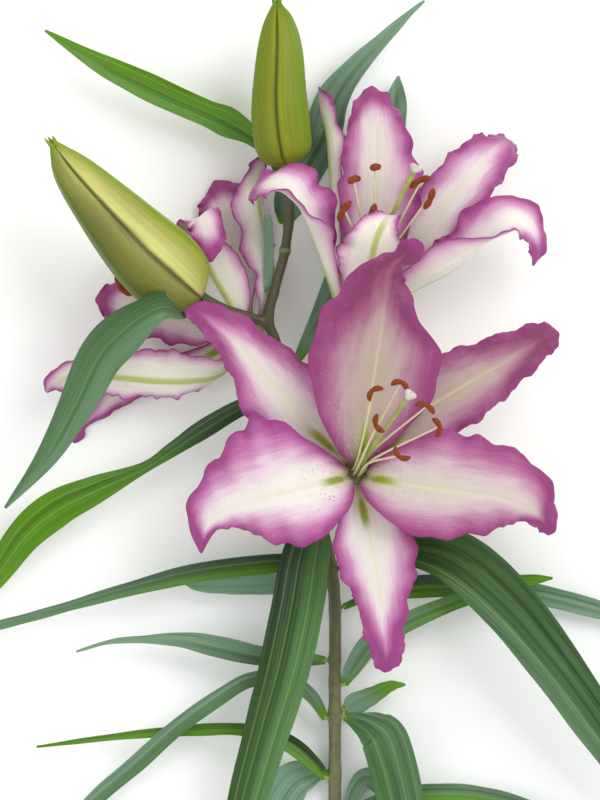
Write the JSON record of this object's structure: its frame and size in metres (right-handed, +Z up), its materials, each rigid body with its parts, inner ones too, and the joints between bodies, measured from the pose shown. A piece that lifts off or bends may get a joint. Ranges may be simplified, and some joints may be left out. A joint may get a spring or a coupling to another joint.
{
  "type": "cut lily",
  "caption": "Cut lily stem lying flat, with wide recurved blooms in bicoloured tepals with waved margins, pointed green buds and long pleated leaves.",
  "frame": {"origin": "on the surface that the lily lies on, under the middle of its outline seen from above", "axes": "+Z up from the surface, +Y along the stem from its cut end towards the blooms, +X to the right seen from above"},
  "size_m": [0.3555, 0.531, 0.108],
  "materials": {
    "stem": "satin",
    "tepal": "satin",
    "stamens": "matte",
    "pistil": "satin",
    "bud": "satin",
    "leaf": "satin"
  },
  "bodies": {
    "root": {"stem": "stem", "front_bloom_petal_top": "tepal", "front_bloom_petal_left": "tepal", "front_bloom_petal_right": "tepal", "front_bloom_sepal_left": "tepal", "front_bloom_sepal_right": "tepal", "front_bloom_sepal_bottom": "tepal", "front_bloom_stamens": "stamens", "front_bloom_pistil": "pistil", "right_bloom_petal_top": "tepal", "right_bloom_petal_left": "tepal", "right_bloom_petal_right": "tepal", "right_bloom_sepal_right": "tepal", "right_bloom_sepal_left": "tepal", "right_bloom_sepal_front": "tepal", "right_bloom_stamens": "stamens", "right_bloom_pistil": "pistil", "left_bloom_sepal_upper": "tepal", "left_bloom_petal_upper": "tepal", "left_bloom_petal_near": "tepal", "left_bloom_petal_far": "tepal", "left_bloom_sepal_lower": "tepal", "left_bloom_sepal_far": "tepal", "left_bloom_stamens": "stamens", "left_bloom_pistil": "pistil", "left_bud": "bud", "top_bud": "bud", "leaf_1": "leaf", "leaf_2": "leaf", "leaf_3": "leaf", "leaf_4": "leaf", "leaf_5": "leaf", "leaf_6": "leaf", "leaf_7": "leaf", "leaf_8": "leaf", "leaf_9": "leaf", "leaf_10": "leaf", "leaf_11": "leaf", "leaf_12": "leaf", "leaf_13": "leaf", "leaf_14": "leaf", "leaf_15": "leaf", "leaf_16": "leaf", "leaf_17": "leaf", "leaf_18": "leaf", "leaf_19": "leaf", "leaf_20": "leaf"}
  },
  "joints": []
}
